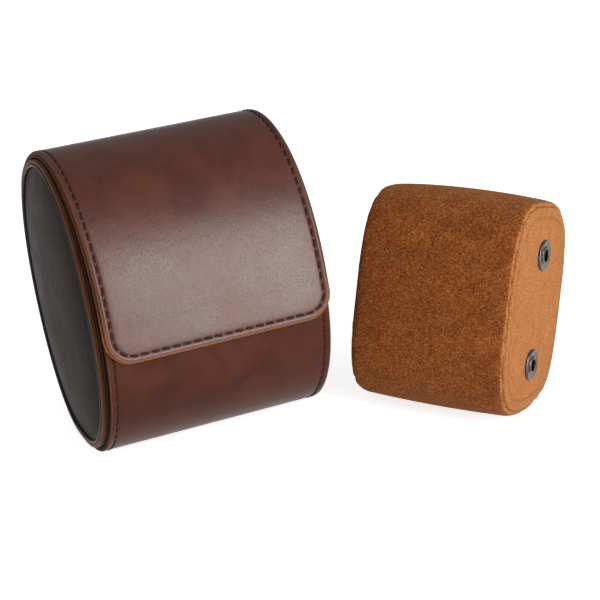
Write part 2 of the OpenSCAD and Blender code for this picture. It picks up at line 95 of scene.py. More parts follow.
# ---------------------------------------------------------------- ovals
class Oval:
    """The rounded section of a piece. Angles run from the back over the top; a grow is a distance outwards.

    Its weight presses a strip of it flat, and give is how far round the strip it eases back to its curve.
    """

    def __init__(self, half_depth, half_height, power, lean, pressed, give,
                 spot=(0, 0), turn=0.0, middle=(0, 0)):
        self.a, self.b, self.n = half_depth, half_height, power
        self.cos, self.sin = math.cos(lean), math.sin(lean)
        self.spot, self.turn, self.middle, self.give = spot, turn, np.array(middle), give
        ring = self.point(np.radians(np.arange(0, 360, 0.5)), 0.0, False)
        self.lowest = self.lean_height(ring).min()
        self.stand(-self.lowest - pressed, 0.0)

    def stand(self, rest, under):
        """Sets the height of its middle over the floor, and how thick whatever lies under it is."""
        self.rest, self.floor = rest, under - rest

    def outward(self, t):
        c, s = np.cos(t), np.sin(t)
        e = 2 - 2 / self.n
        v = np.stack([np.sign(c) * abs(c) ** e / self.a, np.sign(s) * abs(s) ** e / self.b], -1)
        return v / np.linalg.norm(v, axis=-1, keepdims=True)

    def lean_height(self, p):
        return p[..., 1] * self.cos - p[..., 0] * self.sin

    def point(self, t, grow, press=True):
        """Section points, depth and height, lifted to the strip that is pressed to the floor."""
        t, grow = np.broadcast_arrays(np.asarray(t, float), np.asarray(grow, float))
        c, s = np.cos(t), np.sin(t)
        e = 2 / self.n
        p = np.stack([self.a * np.sign(c) * abs(c) ** e, self.b * np.sign(s) * abs(s) ** e], -1)
        p = p + self.middle + grow[..., None] * self.outward(t)
        if press:
            ease = self.give**2 / 4 / (self.floor - self.lowest)
            sunk = self.floor - np.minimum(grow, 0) - self.lean_height(p) - ease
            lift = (sunk + np.sqrt(sunk**2 + self.give**2)) / 2
            p = p + lift[..., None] * np.array([-self.sin, self.cos])
        return p

    def back_angle(self, z):
        return math.asin(math.copysign(abs(z / self.b) ** (self.n / 2), z))

    def across(self, points):
        """How far placed points lie along the piece, in mm from its middle."""
        away = np.asarray(points)[:, :2] / MM - self.spot
        return away[:, 0] * math.cos(self.turn) + away[:, 1] * math.sin(self.turn)

    def place(self, x, p):
        """Points of the piece's own section, put on the floor, in metres."""
        y = p[..., 0] * self.cos + p[..., 1] * self.sin
        z = -p[..., 0] * self.sin + p[..., 1] * self.cos + self.rest
        ct, st = math.cos(self.turn), math.sin(self.turn)
        return MM * np.stack([x * ct - y * st + self.spot[0], x * st + y * ct + self.spot[1], z], -1)


LEAN = math.radians(20)
CASE = Oval(37.5, 48.5, 2.14, LEAN, 2.0, 1.6)
PILLOW = Oval(25.2, 35.5, 3.2, LEAN, 2.4, 3.2, PILLOW_SPOT, PILLOW_TURN)

# The ends have an oval of their own, which stands on the inside of the outer leather
END = Oval(
    CASE.a - WRAP_T - (END_FRONT + END_BACK) / 2,
    CASE.b - WRAP_T + (END_RISE - END_CLEAR) / 2,
    CASE.n,
    LEAN,
    0.0,
    CASE.give,
    middle=((END_FRONT - END_BACK) / 2, (END_RISE + END_CLEAR) / 2),
)
END.stand(CASE.rest, WRAP_T + END_CLEAR)


class Walk:
    """A line round a section, walked by its length. Its curve gives the outer face's point at an angle."""

    def __init__(self, curve, first, last, zero):
        self.curve = curve
        self.angles = np.linspace(first, last, 2400)
        p = curve(self.angles)
        run = np.concatenate([[0], np.cumsum(np.linalg.norm(np.diff(p, axis=0), axis=1))])
        self.runs = run - np.interp(zero, self.angles, run)

    def angle(self, s):
        return np.interp(s, self.runs, self.angles)

    def outward(self, t):
        way = self.curve(t + 0.004) - self.curve(t - 0.004)
        return np.stack([way[:, 1], -way[:, 0]], -1) / np.linalg.norm(way, axis=1, keepdims=True)

    def run(self, t):
        return float(np.interp(t, self.angles, self.runs))


def smooth(v, low, high):
    f = np.clip((v - low) / (high - low), 0, 1)
    return f * f * (3 - 2 * f)


WALL_ANGLE = math.pi - CASE.back_angle(0)
FOLD_ANGLE = CASE.back_angle(FOLD_Z)
ROOT_ANGLE = CASE.back_angle(FOLD_Z + FOLD_GAP)
TONGUE_ANGLE = CASE.back_angle(FOLD_Z - TONGUE_H)
HEM_ANGLE = math.pi - CASE.back_angle(-FLAP_DROP)


def flap_face(t):
    """The flap leather's outer face: under the base leather at the fold, then over the case to its hem."""
    rise = smooth(t, ROOT_ANGLE - math.radians(0.5), ROOT_ANGLE + math.radians(10))
    free = FLAP_OUTER - FLAP_TUCK * (1 - smooth(t, ROOT_ANGLE, ROOT_ANGLE + RISE_TURN))
    free = free + FLAP_FLARE * smooth(t, HEM_ANGLE - FLARE_TURN, HEM_ANGLE)
    return CASE.point(t, free * rise - WRAP_T * (1 - rise), False)


FLAP_WALK = Walk(flap_face, TONGUE_ANGLE, HEM_ANGLE, ROOT_ANGLE)
BASE_WALK = Walk(lambda t: CASE.point(t, 0.0), WALL_ANGLE, 2 * math.pi + FOLD_ANGLE, WALL_ANGLE)
FLAP_RUN = FLAP_WALK.run(HEM_ANGLE)
BASE_RUN = BASE_WALK.run(2 * math.pi + FOLD_ANGLE)
SEAM_START = BASE_WALK.run(math.pi - CASE.back_angle(2 * STITCH_PITCH - FLAP_DROP))


# ---------------------------------------------------------------- work on meshes
def new_piece(name):
    """Takes the primitive that was just added, with its size and place in its mesh."""
    piece = bpy.context.object
    piece.name = piece.data.name = name
    bpy.ops.object.transform_apply(location=True, rotation=True, scale=True)
    return piece


def only(piece):
    bpy.ops.object.select_all(action="DESELECT")
    piece.select_set(True)
    bpy.context.view_layer.objects.active = piece


def edit(piece):
    only(piece)
    bpy.ops.object.mode_set(mode="EDIT")
    bpy.ops.mesh.select_all(action="DESELECT")


def done():
    bpy.ops.object.mode_set(mode="OBJECT")


def pick(piece, kind, wanted):
    """Selects the verts, edges or faces for which wanted is true, and nothing else."""
    bpy.ops.mesh.select_all(action="DESELECT")
    bpy.ops.mesh.select_mode(type={"verts": "VERT", "edges": "EDGE", "faces": "FACE"}[kind])
    mesh = bmesh.from_edit_mesh(piece.data)
    for part in getattr(mesh, kind):
        part.select_set(bool(wanted(part)))
    bmesh.update_edit_mesh(piece.data)


def pick_all():
    bpy.ops.mesh.select_all(action="SELECT")


def slice_across(axis, places):
    """Cuts the mesh in edit mode by planes at these places along one axis."""
    for place in places:
        pick_all()
        at = [0.0, 0.0, 0.0]
        at[axis] = place
        bpy.ops.mesh.bisect(plane_co=at, plane_no=[float(i == axis) for i in range(3)])


def apply(piece, kind, **settings):
    only(piece)
    modifier = piece.modifiers.new(kind.title(), kind)
    for key, value in settings.items():
        setattr(modifier, key, value)
    bpy.ops.object.modifier_apply(modifier=modifier.name)


def points_of(piece):
    co = np.empty(len(piece.data.vertices) * 3)
    piece.data.vertices.foreach_get("co", co)
    return co.reshape(-1, 3)


def move_points(piece, points):
    piece.data.vertices.foreach_set("co", np.ascontiguousarray(points, float).ravel())
    piece.data.update()


def note(piece, name, values):
    """Stores one number per vertex for the materials to read."""
    made = piece.data.attributes.new(name, "FLOAT", "POINT")
    made.data.foreach_set("value", np.asarray(values, np.float32))


def lay_out(piece, u, v):
    """A UV map in mm, from one pair of numbers per vertex. Callers shift what would else share a place."""
    layer = piece.data.uv_layers.get("flat") or piece.data.uv_layers.new(name="flat")
    piece.data.uv_layers.active = layer
    corner = np.empty(len(piece.data.loops), np.int32)
    piece.data.loops.foreach_get("vertex_index", corner)
    layer.data.foreach_set("uv", np.stack([u, v], -1)[corner].astype(np.float32).ravel())


def finish_shape(piece, angle=40):
    only(piece)
    bpy.ops.object.shade_smooth_by_angle(angle=math.radians(angle))
    return piece


def flip(piece):
    """Turns all faces round, for a piece that is put in place mirrored."""
    edit(piece)
    pick_all()
    bpy.ops.mesh.flip_normals()
    done()


def face_outwards(piece):
    edit(piece)
    pick_all()
    bpy.ops.mesh.remove_doubles(threshold=1e-4)
    bpy.ops.mesh.normals_make_consistent(inside=False)
    done()


# ---------------------------------------------------------------- leather strips
RINGS = (0.06, 0.1, 0.14, 0.2, 0.3, 0.35, 0.35, 0.3, 0.25, 0.25, 0.25, 0.25, 0.25, 0.25, 0.3, 0.5)


def cut_strip(name, half, low, high, thick, corner=0.0, rings=RINGS, step=1.2, across=5.0):
    """A sheet of leather as it is cut, with rounded hem corners, rings along its edge and a thickness."""
    bpy.ops.mesh.primitive_plane_add(size=1, location=(0, (low + high) / 2, 0))
    bpy.context.object.scale = (2 * half, high - low, 1)
    piece = new_piece(name)
    edit(piece)
    if corner:
        pick(piece, "verts", lambda v: v.co.y > high - 1e-3)
        bpy.ops.mesh.bevel(offset=corner, segments=14, affect="VERTICES")
    bpy.ops.mesh.select_mode(type="FACE")
    pick_all()
    for width in rings:
        bpy.ops.mesh.inset(thickness=width, depth=0)
    slice_across(1, np.arange(low + step, high - step / 2, step))
    slice_across(0, np.arange(-half + across, half - across / 2, across))
    done()
    apply(piece, "SOLIDIFY", thickness=thick, offset=-1)
    return piece


def edge_distance(x, s, half, low, high, corner):
    """Distance in from the edge of a strip with two rounded corners at its far end."""
    over_x, over_s = abs(x) - (half - corner), s - (high - corner)
    inside = np.minimum(half - abs(x), high - s)
    rounded = corner - np.hypot(over_x, over_s)
    return np.minimum(np.where((over_x > 0) & (over_s > 0), rounded, inside), s - low)


def seam_path(x, s, half, hem, corner):
    """Where a point lies by the flap's seam: distance along it from the hem's middle, and distance off it."""
    r = corner - (SEAM_INSET + HEM_INSET) / 2
    cx, cs = half - SEAM_INSET - r, hem - HEM_INSET - r
    ax = abs(x)
    turn = np.arctan2(np.maximum(ax - cx, 0), np.maximum(s - cs, 1e-9))
    in_corner = (ax > cx) & (s > cs)
    off_side, off_hem = ax - (half - SEAM_INSET), s - (hem - HEM_INSET)
    nearer_side = abs(off_side) < abs(off_hem)
    run = np.where(nearer_side, cx + r * math.pi / 2 + cs - s, ax)
    off = np.where(nearer_side, off_side, off_hem)
    run = np.where(in_corner, cx + r * turn, run)
    off = np.where(in_corner, np.hypot(ax - cx, s - cs) - r, off)
    return run, off


def leather_profile(d, off, round_r, bead, groove):
    """A leather face's height by its distance from edge and seam: rounded, with a bead and a groove."""
    e = np.clip(d, 0, round_r)
    height = -(round_r - np.sqrt(np.maximum(0, round_r**2 - (round_r - e) ** 2)))
    height += bead * np.exp(-(((off - BEAD_OFF) / BEAD_W) ** 2))
    height -= groove * np.exp(-((off / GROOVE_W) ** 2))
    return height - groove * 0.45 * np.exp(-((off / DIP_W) ** 2))


def wrap(piece, walk, oval, drop=0.0):
    """Bends a flat piece round a walked line and stands it in its place."""
    p = points_of(piece)
    t = walk.angle(p[:, 1])
    section = walk.curve(t) + (p[:, 2] - drop)[:, None] * walk.outward(t)
    move_points(piece, oval.place(p[:, 0], section))
    return piece


def wrap_pressed(piece, walk, oval, grow=0.0):
    """The same for a layer of the base, which is pressed flat where it stands."""
    p = points_of(piece)
    t = walk.angle(p[:, 1])
    move_points(piece, oval.place(p[:, 0], oval.point(t, p[:, 2] + grow)))
    return piece


def round_edges(piece, d, off, thick, round_r, bead=0.0, groove=0.0, under_r=0.3):
    p = points_of(piece)
    top = p[:, 2] > -thick / 2
    upper = leather_profile(d, off, round_r, bead, groove)
    under = -thick - leather_profile(d, off, under_r, 0, 0)
    p[:, 2] = np.where(top, upper, under)
    move_points(piece, p)


# ---------------------------------------------------------------- loops round the ends
def ring_section(name, x_low, x_high, grow_low, grow_high, round_r, segments=4):
    """A closed band round an end: its rounded section is spun on a lathe radius, then fitted to the oval."""
    middle = ((x_low + x_high) / 2, LATHE_R + (grow_low + grow_high) / 2, 0)
    bpy.ops.mesh.primitive_plane_add(size=1, location=middle)
    bpy.context.object.scale = (x_high - x_low, grow_high - grow_low, 1)
    piece = new_piece(name)
    edit(piece)
    pick_all()
    bpy.ops.mesh.bevel(offset=round_r, segments=segments, affect="VERTICES")
    pick_all()
    bpy.ops.mesh.spin(steps=240, angle=2 * math.pi, center=(0, 0, 0), axis=(1, 0, 0))
    pick_all()
    bpy.ops.mesh.remove_doubles(threshold=1e-3)
    pick(piece, "faces", lambda f: abs(f.normal.x) < 0.5 and len(f.verts) > 4)
    bpy.ops.mesh.delete(type="ONLY_FACE")
    pick_all()
    bpy.ops.mesh.normals_make_consistent(inside=False)
    done()
    return piece


def fit_loop(piece, oval, mirrored=False):
    """Fits a lathe shape about X to an oval: its angle stays and its radius tells how far off the oval."""
    p = points_of(piece)
    t, grow = np.arctan2(p[:, 2], p[:, 1]), np.hypot(p[:, 1], p[:, 2]) - LATHE_R
    x = -p[:, 0] if mirrored else p[:, 0]
    move_points(piece, oval.place(x, oval.point(t, grow)))
    if mirrored:
        flip(piece)
    return piece


def fit_disc(piece, oval, edge_grow, mirrored=False):
    """The same for a disc of unit radius: its rim lies on the oval and the rest shrinks to the middle."""
    p = points_of(piece)
    t, share = np.arctan2(p[:, 2], p[:, 1]), np.hypot(p[:, 1], p[:, 2])
    section = oval.middle + (oval.point(t, edge_grow) - oval.middle) * share[:, None]
    x = -p[:, 0] if mirrored else p[:, 0]
    move_points(piece, oval.place(x, section))
    if mirrored:
        flip(piece)
    return piece


def turned(name, stations, segments=64):
    """A turned metal piece about X: a ring is drawn out through its stations, each a place and a radius."""
    x, r = stations[0]
    bpy.ops.mesh.primitive_circle_add(
        vertices=segments, radius=r, location=(x, 0, 0), rotation=(0, math.pi / 2, 0)
    )
    piece = new_piece(name)
    edit(piece)
    pick_all()
    for nx, nr in stations[1:]:
        bpy.ops.mesh.extrude_edges_move(TRANSFORM_OT_translate={"value": (nx - x, 0, 0)})
        bpy.ops.transform.resize(value=(1, nr / r, nr / r), center_override=(nx, 0, 0))
        x, r = nx, nr
    pick_all()
    bpy.ops.mesh.remove_doubles(threshold=1e-3)
    bpy.ops.mesh.normals_make_consistent(inside=False)
    done()
    return piece


def put(piece, oval, x, height, towards=1):
    """Stands a turned piece on an end's inner or outer face."""
    p = points_of(piece)
    section = np.stack([p[:, 1], p[:, 2] + height], -1)
    move_points(piece, oval.place(x + towards * p[:, 0], section))
    if towards < 0:
        flip(piece)
    return piece


# ---------------------------------------------------------------- finishes
class Wire:
    """One socket of a finish. Arithmetic on it adds Math nodes."""

    def __init__(self, finish, socket):
        self.finish, self.socket = finish, socket

    def math(self, operation, *values):
        return self.finish.node("Math", {"operation": operation}, *values)

    def __add__(self, other):
        return self.math("ADD", self, other)

    def __sub__(self, other):
        return self.math("SUBTRACT", self, other)

    def __rsub__(self, other):
        return self.math("SUBTRACT", other, self)

    def __mul__(self, other):
        return self.math("MULTIPLY", self, other)

    def __abs__(self):
        return self.math("ABSOLUTE", self)

    def __mod__(self, other):
        return self.math("FLOORED_MODULO", self, other)

    def __pow__(self, other):
        return self.math("POWER", self, other)

    __radd__, __rmul__ = __add__, __mul__


class Finish:
    """A procedural material for one kind of surface."""

    def __init__(self, name, **constants):
        self.material = bpy.data.materials.new(name)
        self.material.use_nodes = True
        self.tree = self.material.node_tree
        self.surface = self.tree.nodes["Principled BSDF"]
        for key, value in constants.items():
            self.surface.inputs[key.replace("_", " ").title().replace("Ior", "IOR")].default_value = value

    def node(self, kind, settings=None, *values, out=0, **named):
        """Adds a node, sets it up, and gives its inputs values or links, in order or by name."""
        made = self.tree.nodes.new("ShaderNode" + kind)
        for key, value in (settings or {}).items():
            setattr(made, key, value)
        for place, value in [*enumerate(values), *named.items()]:
            if isinstance(place, str):
                place = place.replace("_", " ")
            if isinstance(value, Wire):
                self.tree.links.new(value.socket, made.inputs[place])
            elif value is not None:
                made.inputs[place].default_value = value
        return Wire(self, made.outputs[out])

    def place(self, source="Object", stretch=(1, 1, 1)):
        """Coordinates in mm: from the object, or from the piece's own flat UV map."""
        if source == "Object":
            at, scale = self.node("TexCoord", out="Object"), 1 / MM
        else:
            at, scale = self.node("UVMap", {"uv_map": "flat"}), 1.0
        return self.node("Mapping", {"vector_type": "POINT"}, at, None, None, [scale * s for s in stretch])

    def noise(self, at, size, detail=3.0, rough=0.55, warp=0.0):
        """Noise whose blotches are about size mm across."""
        shape = {"Detail": detail, "Roughness": rough, "Distortion": warp}
        return self.node("TexNoise", None, Vector=at, Scale=1 / size, **shape)

    def cells(self, at, size):
        return self.node("TexVoronoi", None, Vector=at, Scale=1 / size, out="Distance")

    def step(self, value, low, high, to_low=0.0, to_high=1.0):
        settings = {"interpolation_type": "SMOOTHSTEP"}
        return self.node("MapRange", settings, value, low, high, to_low, to_high)

    def noted(self, name):
        return self.node("Attribute", {"attribute_name": name}, out="Fac")

    def mix(self, share, first, second):
        made = self.tree.nodes.new("ShaderNodeMix")
        made.data_type = "RGBA"
        for place, value in ((0, share), (6, first), (7, second)):
            if isinstance(value, Wire):
                self.tree.links.new(value.socket, made.inputs[place])
            else:
                made.inputs[place].default_value = value
        return Wire(self, made.outputs[2])

    def bump(self, height, depth, under=None):
        """A bump of this depth in mm, over another one."""
        return self.node("Bump", None, Strength=1.0, Distance=depth * MM, Height=height, Normal=under)

    def show(self, **sockets):
        for key, value in sockets.items():
            self.tree.links.new(value.socket, self.surface.inputs[key.replace("_", " ")])
        return self.material


def tone(red, green, blue):
    """A colour from its 0 to 255 values as seen on a screen."""
    return [((c / 255 + 0.055) / 1.055) ** 2.4 if c > 10 else c / 3294.6 for c in (red, green, blue)] + [1.0]


def brown_leather(name, dark, light, raw, reach, polish, seam=True):
    """Smooth waxed hide: fine pores, a faint cloud, and a torn raw edge with tones of its own at the hem.
    Painted shade darkens the stitch holes, the groove between stitches and the outermost raw edge where the
    leather layers meet.
    """
    f = Finish(name, specular_ior_level=0.05 + 0.4 * polish, coat_roughness=0.36)
    at = f.place("flat")
    cloud = f.noise(at, 16, 4, warp=0.8)
    fleck = f.noise(at, 1.1, 4, 0.6)
    pores = f.cells(at, 0.42)
    scuff = f.noise(f.place("flat", stretch=(1, 0.12, 1)), 0.9, 5, 0.65)
    fibre = f.noise(at, 0.22, 5, 0.7)
    cut, run = f.noted("cut"), f.noted("run")
    at_hem = f.step(run, 50, 36)
    torn = cut + fleck * 0.35 + fibre * 0.3 - at_hem * (reach[1] - reach[0])
    is_raw = f.step(torn, reach[0] + 0.5, reach[0] + 0.1)
    waxed = 1 - is_raw
    colour = f.mix(f.step(cloud + fleck * 0.2, 0.4, 0.85), dark, light)
    colour = f.mix(f.step(scuff, 0.66, 0.85, 0.0, 0.12), colour, tone(150, 118, 100))
    side_raw = f.mix(f.step(fibre + fleck * 0.4, 0.5, 0.95), raw[0], raw[1])
    hem_raw = f.mix(f.step(fibre + fleck * 0.4, 0.5, 0.95), raw[2], raw[3])
    raw_colour = f.mix(at_hem, side_raw, hem_raw)
    rough = f.step(cloud + fleck * 0.3, 0.35, 0.95, 0.33, 0.43)
    rough = rough + is_raw * 0.35 + f.step(scuff, 0.6, 0.8, 0, 0.06)
    grain = f.bump(f.step(pores, 0.0, 0.5) + fleck * 0.8, 0.028, f.bump(f.noise(at, 6, 3, warp=1.0), 0.09))
    if seam:
        # painted shade: the stitch holes and the groove between the stitches are darkened, as shade in these
        # recesses
        along = abs((run % STITCH_PITCH) - STITCH_PITCH / 2) - STITCH_L / 2
        off = f.noted("off")
        hole = f.step((along * along + off * off) ** 0.5, 0.5, 0.2)
        line = f.step(abs(off), 0.2, 0.05) * f.step(along, -0.2, 0.1)
        sewn = f.step(run, -0.6, 0.0)
        colour = f.mix(line * sewn * 0.35, colour, tone(26, 13, 10))
        colour = f.mix(hole * sewn, colour, tone(18, 9, 7))
        grain = f.bump(1 - hole * sewn, 0.1, grain)
        rough = rough + hole * sewn * 0.4
        waxed = waxed * (1 - hole * sewn)
        # painted shade: the outermost quarter mm of the raw edge, at the gap where the leather layers meet,
        # is darkened
        raw_colour = f.mix(f.step(cut, 0.24, 0.06) * 0.85, raw_colour, tone(30, 15, 9))
    colour = f.mix(is_raw, colour, raw_colour)
    return f.show(
        Base_Color=colour,
        Roughness=rough,
        Coat_Weight=waxed * (0.2 * polish),
        Normal=f.bump(fibre * is_raw, 0.12, grain),
    )


def plain_leather(name, dark, light, rough_low, rough_high, shine, grain=0.35, border_highlight=None):
    """Finer, darker hide for the padded ends and their rims. A border outside a fine sewn line is painted
    lighter grey, as a painted highlight.
    """
    f = Finish(name, specular_ior_level=shine)
    at = f.place()
    cloud, fleck = f.noise(at, 12, 4), f.noise(at, 0.8, 4, 0.6)
    pores = f.cells(at, grain)
    colour = f.mix(f.step(cloud + fleck * 0.3, 0.45, 0.85), dark, light)
    rough = f.step(cloud, 0.3, 0.7, rough_low, rough_high)
    if border_highlight:
        edge = f.noted("edge")
        dots = f.step(abs((f.noted("run") % 2.0) - 1.0), 0.85, 0.7)
        # painted highlight: the border outside the sewn line is painted lighter grey all round
        colour = f.mix(f.step(edge, BORDER + 0.004, BORDER - 0.004), colour, border_highlight)
        colour = f.mix(f.step(abs(edge - BORDER), 0.01, 0.004) * dots, colour, tone(18, 13, 12))
    return f.show(
        Base_Color=colour,
        Roughness=rough,
        Normal=f.bump(f.step(pores, 0, 0.5) + fleck, 0.03, f.bump(f.noise(at, 5, 3), 0.12)),
    )


def layered_edge(name, dark, middle, light):
    """Bound edge of pressed leather layers, seen as lines that run round the end. Its inner part, which runs
    in under the outer leather, is darkened as painted shade.
    """
    f = Finish(name, specular_ior_level=0.25)
    at = f.place()
    fibre, cloud = f.noise(at, 0.35, 5, 0.7), f.noise(at, 5, 3)
    depth = END_X - abs(f.node("SeparateXYZ", None, at, out="X"))
    colour = f.mix(f.step(fibre + cloud * 0.5, 0.5, 1.0), middle, light)
    seam = f.step(abs(depth - 1.1 - cloud * 0.5), 0.28, 0.1)
    colour = f.mix(seam, colour, dark)
    # painted shade: the inner part, more than about 2 mm in from the end, is darkened where it runs in under
    # the outer leather
    colour = f.mix(f.step(depth + fibre * 0.6, 1.9, 2.5), colour, dark)
    return f.show(Base_Color=colour, Roughness=f.step(cloud, 0.3, 0.7, 0.5, 0.7), Normal=f.bump(fibre, 0.08))


def suede_nap(name, dark, middle, light, pale=None):
    """Brushed nap: short tufts that lie in patches, some turned to the light.

    The arrises may take a paler nap, which is partly the nap's own tone and partly a painted highlight where
    they catch the light. A faint crease runs round inside a noted edge, darkened as painted shade.
    """
    sheen = {"sheen_weight": 0.35, "sheen_roughness": 0.5, "sheen_tint": tone(225, 160, 105)}
    f = Finish(name, specular_ior_level=0.15, **sheen)
    at = f.place()
    tuft = f.noise(f.place(stretch=(1, 0.7, 1.5)), 0.6, 4, 0.7, 0.8)
    fine = f.noise(at, 0.25, 3, 0.7)
    patch = f.noise(at, 6, 4, 0.6, 0.8)
    lay = tuft * 0.75 + fine * 0.25 + patch * 0.15
    colour = f.mix(f.step(lay, 0.44, 0.6), dark, middle)
    colour = f.mix(f.step(lay, 0.56, 0.72), colour, light)
    if pale:
        # painted highlight in part: the arrises take the paler nap of the ends, as where they catch the light
        pale_lit_nap = f.mix(f.step(lay, 0.44, 0.6), pale[0], pale[1])
        pale_lit_nap = f.mix(f.step(lay, 0.56, 0.72), pale_lit_nap, pale[2])
        colour = f.mix(f.step(f.noted("pale") + (tuft - 0.5) * 0.8, 0.2, 0.8), colour, pale_lit_nap)
    # painted shade: the crease is darkened in colour as well as bumped
    crease = f.step(abs(f.noted("edge") + (patch - 0.5) * 0.05 - CREASE), 0.02, 0.0)
    colour = f.mix(crease * 0.35, colour, dark)
    return f.show(
        Base_Color=colour,
        Roughness=f.step(patch, 0.3, 0.7, 0.82, 0.95),
        Normal=f.bump(crease, -0.3, f.bump(fine, 0.12, f.bump(tuft, 0.3, f.bump(patch, 0.35)))),
    )


def dark_metal(name):
    """Gunmetal plating with fine turning marks and slightly rubbed spots."""
    f = Finish(name, metallic=1.0)
    at = f.place()
    rub, fine = f.noise(at, 2.2, 4), f.noise(at, 0.25, 3)
    colour = f.mix(f.step(rub, 0.4, 0.7), tone(78, 72, 70), tone(112, 104, 98))
    rough = f.step(rub + fine * 0.2, 0.4, 0.8, 0.30, 0.44)
    return f.show(Base_Color=colour, Roughness=rough, Normal=f.bump(fine, 0.01))


def waxed_thread(name):
    """Twisted waxed thread."""
    f = Finish(name, specular_ior_level=0.2)
    at = f.place("flat")
    turn = f.node("TexWave", {"bands_direction": "DIAGONAL"}, Vector=at, Scale=0.55, Distortion=0.6)
    lint = f.noise(at, 0.3, 3)
    colour = f.mix(f.step(turn + lint * 0.3, 0.3, 1.0), tone(34, 15, 11), tone(64, 32, 23))
    return f.show(Base_Color=colour, Roughness=f.step(lint, 0.3, 0.7, 0.6, 0.75), Normal=f.bump(turn, 0.05))


def pulp_board(name, dark, light):
    """Grey board with pressed fibres."""
    f = Finish(name, specular_ior_level=0.2)
    at = f.place()
    fibre = f.noise(f.place(stretch=(0.4, 1, 1)), 0.5, 5, 0.7)
    colour = f.mix(f.step(fibre + f.noise(at, 5) * 0.4, 0.4, 0.9), dark, light)
    return f.show(Base_Color=colour, Roughness=f.step(fibre, 0.3, 0.7, 0.8, 0.95), Normal=f.bump(fibre, 0.08))


LEATHER = brown_leather(
    "waxed brown leather",
    tone(72, 31, 20),
    tone(86, 42, 29),
    raw=(tone(80, 44, 23), tone(128, 74, 40), tone(110, 66, 36), tone(158, 102, 60)),
    reach=(0.8, 1.0),
    polish=1.0,
)
BASE_LEATHER = brown_leather(
    "matt brown leather",
    tone(66, 31, 21),
    tone(80, 42, 31),
    raw=(tone(92, 54, 38), tone(136, 88, 64)) * 2,
    reach=(0.5, 0.5),
    polish=0.1,
)
FLAP_UNDER = brown_leather(
    "flap lining leather",
    tone(70, 42, 30),
    tone(92, 60, 44),
    raw=(tone(74, 42, 20), tone(112, 64, 32), tone(132, 70, 28), tone(206, 120, 54)),
    reach=(1.0, 1.0),
    polish=0.2,
    seam=False,
)
BINDING = layered_edge("layered binding", tone(24, 14, 9), tone(72, 40, 21), tone(116, 68, 34))
# The charcoal panel's lighter grey border is a painted highlight
PANEL = plain_leather(
    "charcoal leather", tone(33, 23, 21), tone(46, 34, 31), 0.38, 0.46, 0.02, border_highlight=tone(62, 55, 54)
)
RIM = plain_leather("turned rim leather", tone(34, 28, 26), tone(52, 44, 42), 0.36, 0.44, 0.2)
# The pillow's ends and arrises take a paler nap: partly their own tone, partly painted light where they face
# the lamps
PALE_LIT_NAP = (tone(128, 74, 36), tone(170, 108, 60), tone(200, 140, 88))
SUEDE = suede_nap("rust suede", tone(70, 31, 9), tone(122, 63, 23), tone(188, 112, 52), PALE_LIT_NAP)
SUEDE_PALE_LIT = suede_nap("tan suede, painted lit", *PALE_LIT_NAP)
INNER_SUEDE = suede_nap("brown lining suede", tone(62, 38, 26), tone(88, 58, 40), tone(116, 80, 58))
METAL = dark_metal("gunmetal")
THREAD = waxed_thread("waxed thread")
BOARD = pulp_board("grey board", tone(92, 84, 74), tone(140, 130, 116))
# The base board is grey board painted near black, as painted shade where its edge shows in the gap at the
# ends
SHADED_BOARD = pulp_board("board painted dark as shade", tone(30, 22, 18), tone(48, 36, 30))


def dress(piece, material, body):
    piece.data.materials.clear()
    piece.data.materials.append(material)
    if body:
        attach(piece, body)
    return piece


# ---------------------------------------------------------------- the flap
FLAP_FROM = FLAP_WALK.run(TONGUE_ANGLE) + 0.2
fold_at = FLAP_WALK.curve(np.array(ROOT_ANGLE)) - CASE.outward(np.array(ROOT_ANGLE)) * FLAP_T / 2
fold_way = np.array([-0.8, 0.6])
# Two points by the fold, 1 mm before it and 4.5 mm past it
BEND = [tuple(CASE.place(0.0, fold_at + far * fold_way)) for far in (-1.0, 4.5)]


def with_flap(piece):
    """Bakes the piece's transform into its mesh."""
    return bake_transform(piece)


def flap_layer(name, low, lip, thick, bead, groove, round_r):
    """One leather of the flap, from its root or tongue to its hem. Its edge may stand out as a thin lip."""
    piece = cut_strip(name, CASE_HALF + lip, low, FLAP_RUN + lip, thick, FLAP_CORNER + lip)
    p = points_of(piece)
    x, s = p[:, 0].copy(), p[:, 1].copy()
    d = edge_distance(x, s, CASE_HALF + lip, low, FLAP_RUN + lip, FLAP_CORNER + lip)
    run, off = seam_path(x, s, CASE_HALF, FLAP_RUN, FLAP_CORNER)
    upper = p[:, 2] > -thick / 2
    round_edges(piece, d, off, thick, round_r, bead, groove, 0.12)
    note(piece, "cut", d)
    note(piece, "run", run)
    note(piece, "off", off)
    lay_out(piece, x + (90 if lip else 0), s + np.where(upper, 0, 200))
    return piece


SEAM_R = FLAP_CORNER - (SEAM_INSET + HEM_INSET) / 2
HEM_HALF = CASE_HALF - SEAM_INSET - SEAM_R


def flap_spot(run, side):
    """A place on the flap's seam, by its distance from the hem's middle, and the seam's direction there."""
    if run < HEM_HALF:
        return side * run, FLAP_RUN - HEM_INSET, side * math.pi / 2
    turn = min((run - HEM_HALF) / SEAM_R, math.pi / 2)
    x, up = HEM_HALF + SEAM_R * math.sin(turn), HEM_INSET + SEAM_R * (1 - math.cos(turn))
    up += max(0, run - HEM_HALF - SEAM_R * math.pi / 2)
    return side * x, FLAP_RUN - up, side * (math.pi / 2 - turn)


flap_leather = flap_layer("flap_outer_leather", FLAP_FROM, 0.0, FLAP_T, 0.16, 0.24, 1.1)
narrow = points_of(flap_leather)
tongue = smooth(narrow[:, 1], 1.0, -1.0)
narrow[:, 0] *= 1 - tongue * TONGUE_SETBACK / CASE_HALF
move_points(flap_leather, narrow)
wrap(flap_leather, FLAP_WALK, CASE)
finish_shape(flap_leather)


